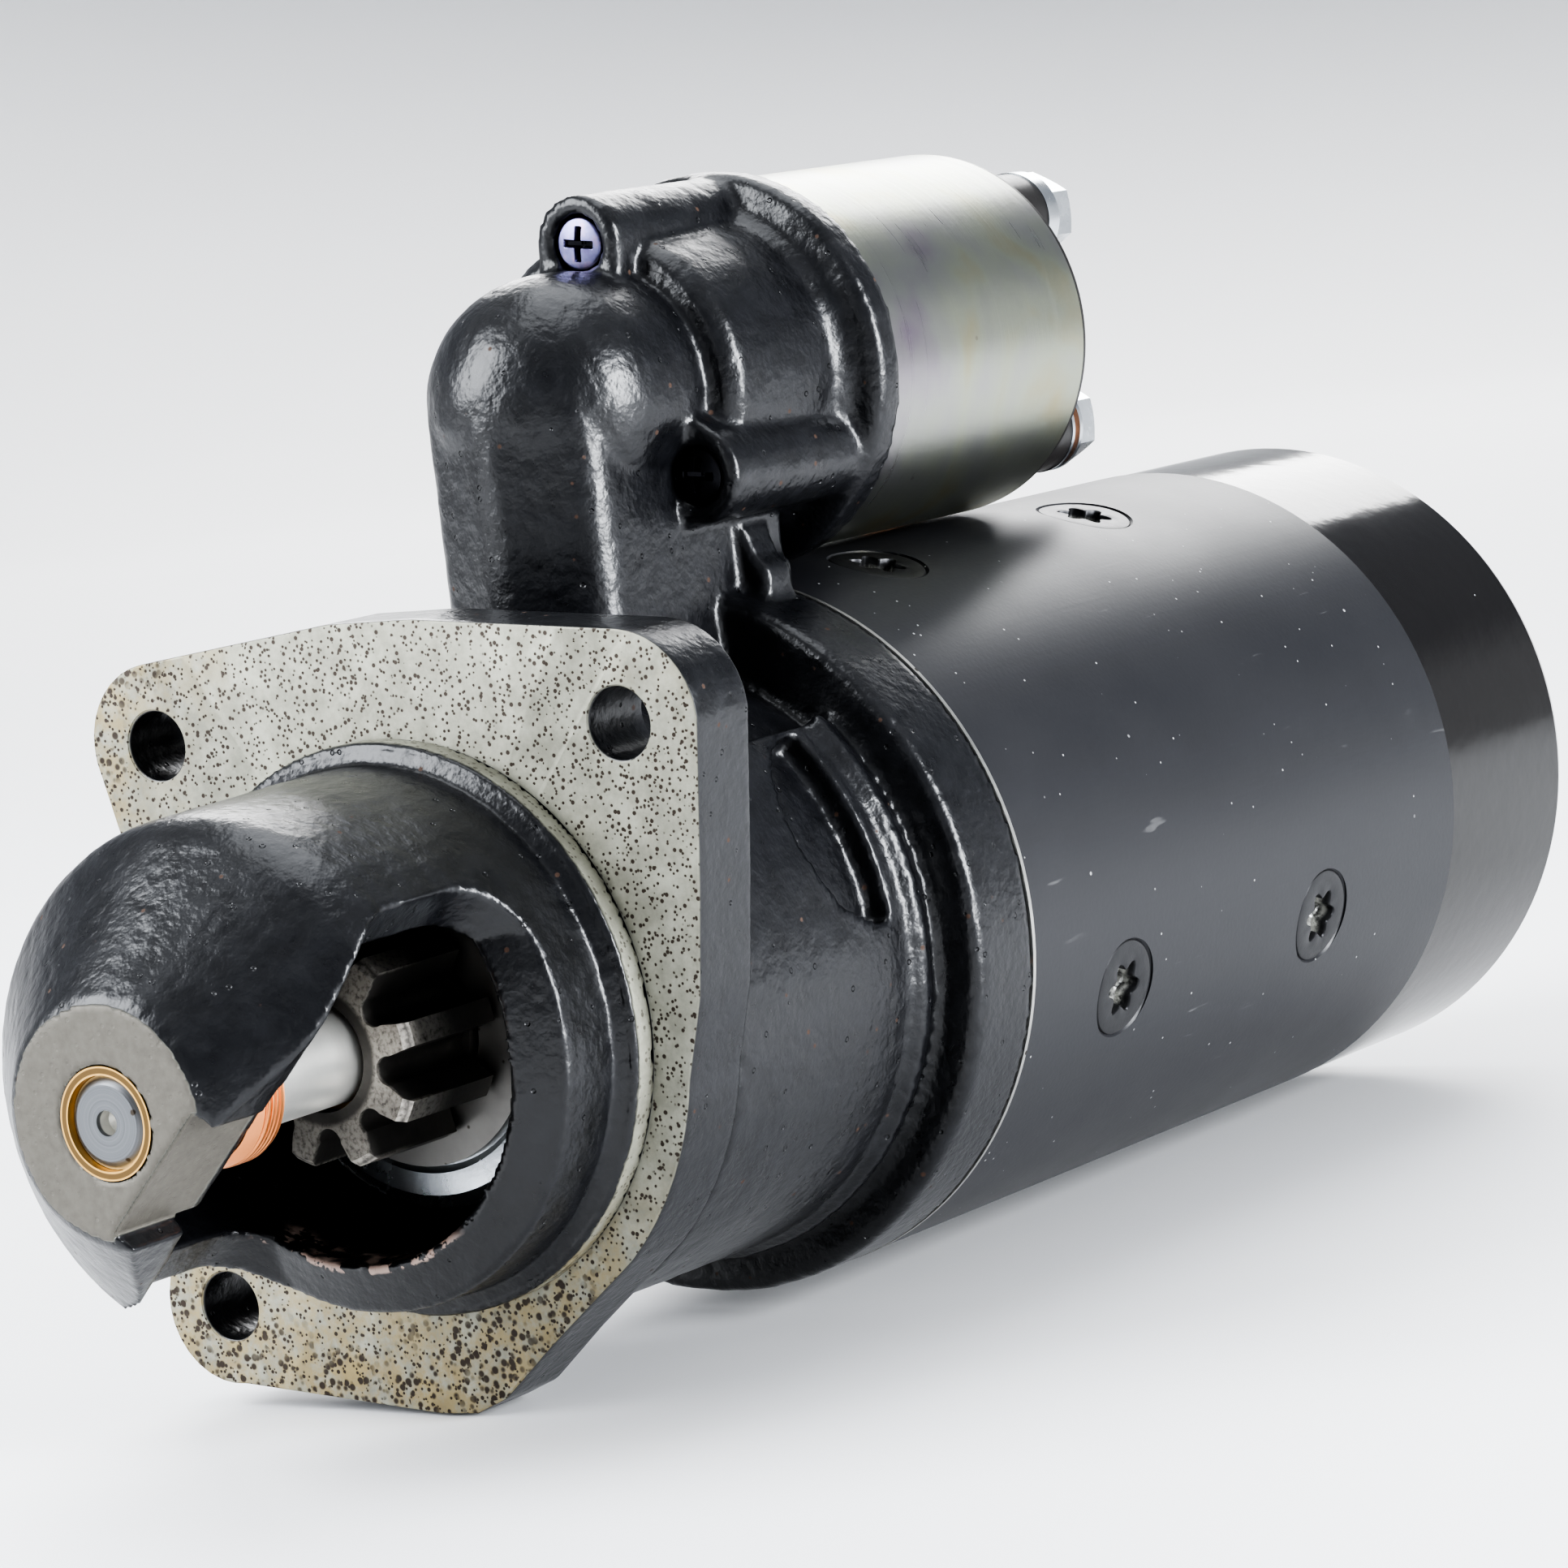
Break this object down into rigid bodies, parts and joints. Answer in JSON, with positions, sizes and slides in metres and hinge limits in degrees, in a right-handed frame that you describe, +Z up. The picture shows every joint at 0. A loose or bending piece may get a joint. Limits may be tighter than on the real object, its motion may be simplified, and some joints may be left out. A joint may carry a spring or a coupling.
{
  "type": "starter motor",
  "caption": "Flanged pre-engaged starter motor with a cast nose and pinion window, a tubular motor body and a solenoid on top that pushes the pinion out.",
  "frame": {"origin": "centre of the mounting flange's machined front face, on the armature axis", "axes": "+X along the armature axis from the nose to the rear cover, +Z up to the solenoid, +Y completes the frame"},
  "size_m": [0.3526, 0.1175, 0.1843],
  "materials": {
    "casting_paint": "gloss black paint over rough cast iron",
    "yoke_paint": "satin black paint",
    "cover_paint": "gloss black paint",
    "bronze": "sintered bronze",
    "collar_bronze": "copper-coloured bronze",
    "brass": "plain",
    "copper": "copper",
    "winding_copper": "enamelled copper",
    "plate_steel": "machined",
    "ground_steel": "ground",
    "gear_steel": "dark hardened, worn bright at the tooth ends",
    "cover_washer": "dull pressed steel",
    "pole_iron": "plain iron",
    "lever_iron": "cast",
    "blackened_screw": "blackened",
    "spring_steel": "spring wire",
    "zinc": "bright zinc",
    "zinc_blue": "blue-violet zinc",
    "zinc_yellow": "yellow passivated zinc",
    "rubber": "matte",
    "cap_plastic": "black phenolic",
    "bobbin_plastic": "moulded",
    "carbon": "copper-graphite"
  },
  "bodies": {
    "housing": {"drive_end_housing": "casting_paint", "nose_bush": "bronze", "center_plate": "plate_steel", "center_bush": "bronze", "yoke": "yoke_paint", "pole_shoes": "pole_iron", "pole_screws": "blackened_screw", "field_coils": "winding_copper", "motor_lead": "copper", "lead_grommet": "rubber", "rear_cover": "cover_paint", "rear_bush": "bronze", "through_bolts": "zinc", "brush_plate": "plate_steel", "brush_boxes": "brass", "brush_springs": "spring_steel", "solenoid_case": "zinc_yellow", "solenoid_plate": "plate_steel", "solenoid_bobbin": "bobbin_plastic", "solenoid_coil": "winding_copper", "solenoid_core": "pole_iron", "solenoid_cap": "cap_plastic", "solenoid_gasket": "rubber", "battery_stud": "copper", "motor_stud": "copper", "terminal_nuts": "zinc", "terminal_washers": "zinc", "switch_terminal": "brass", "solenoid_screws": "zinc_blue", "lever_pin": "plate_steel", "return_spring": "spring_steel", "contact_spring": "spring_steel"},
    "armature": {"armature_shaft": "ground_steel", "armature_core": "pole_iron", "armature_windings": "winding_copper", "commutator": "copper", "thrust_washers": "plate_steel", "stop_collar": "collar_bronze", "stop_ring": "spring_steel"},
    "drive": {"drive_sleeve": "ground_steel", "guide_ring": "bronze", "meshing_spring": "spring_steel", "clutch_housing": "zinc", "clutch_cover": "cover_washer", "clutch_rollers": "ground_steel", "sleeve_ring": "spring_steel"},
    "pinion_gear": {"pinion": "gear_steel", "pinion_bush": "bronze"},
    "lever": {"fork_lever": "lever_iron"},
    "solenoid_plunger": {"plunger": "plate_steel", "plunger_pin": "ground_steel"},
    "contact": {"contact_rod": "plate_steel", "contact_disc": "copper"},
    "brush_a": {"brush_1": "carbon"},
    "brush_b": {"brush_2": "carbon"},
    "brush_c": {"brush_3": "carbon"},
    "brush_d": {"brush_4": "carbon"}
  },
  "joints": [
    {"name": "armature_spin", "type": "hinge", "parent": "housing", "child": "armature", "pos_m": [0, 0, 0], "axis": [1, 0, 0], "continuous": true},
    {"name": "plunger_pull", "type": "slide", "parent": "housing", "child": "solenoid_plunger", "axis": [1, 0, 0], "range_m": [0, 0.01106], "stiffness_N_per_m": 900, "springref_m": -0.012, "deforming": ["return_spring"]},
    {"name": "lever_swing", "type": "hinge", "parent": "housing", "child": "lever", "pos_m": [0.0544, 0, 0.058], "axis": [0, 1, 0], "range_deg": [0, 19.76]},
    {"name": "drive_slide", "type": "slide", "parent": "armature", "child": "drive", "axis": [-1, 0, 0], "range_m": [0, 0.02]},
    {"name": "pinion_overrun", "type": "hinge", "parent": "drive", "child": "pinion_gear", "pos_m": [0, 0, 0], "axis": [1, 0, 0], "continuous": true},
    {"name": "contact_close", "type": "slide", "parent": "housing", "child": "contact", "axis": [1, 0, 0], "range_m": [0, 0.003], "deforming": ["contact_spring"]},
    {"name": "brush_a_slide", "type": "slide", "parent": "housing", "child": "brush_a", "axis": [0, -0.2924, 0.9563], "range_m": [0, 0.004], "stiffness_N_per_m": 600, "springref_m": -0.01, "deforming": ["brush_springs"]},
    {"name": "brush_b_slide", "type": "slide", "parent": "housing", "child": "brush_b", "axis": [0, -0.9563, -0.2924], "range_m": [0, 0.004], "stiffness_N_per_m": 600, "springref_m": -0.01, "deforming": ["brush_springs"]},
    {"name": "brush_c_slide", "type": "slide", "parent": "housing", "child": "brush_c", "axis": [0, 0.2924, -0.9563], "range_m": [0, 0.004], "stiffness_N_per_m": 600, "springref_m": -0.01, "deforming": ["brush_springs"]},
    {"name": "brush_d_slide", "type": "slide", "parent": "housing", "child": "brush_d", "axis": [0, 0.9563, 0.2924], "range_m": [0, 0.004], "stiffness_N_per_m": 600, "springref_m": -0.01, "deforming": ["brush_springs"]}
  ],
  "couplings": [
    {"joint": "lever_swing", "follows": "plunger_pull", "rad_per_m": 31.153},
    {"joint": "drive_slide", "follows": "plunger_pull", "ratio": 1.8069},
    {"joint": "contact_close", "follows": "plunger_pull", "ratio": 0.27}
  ]
}
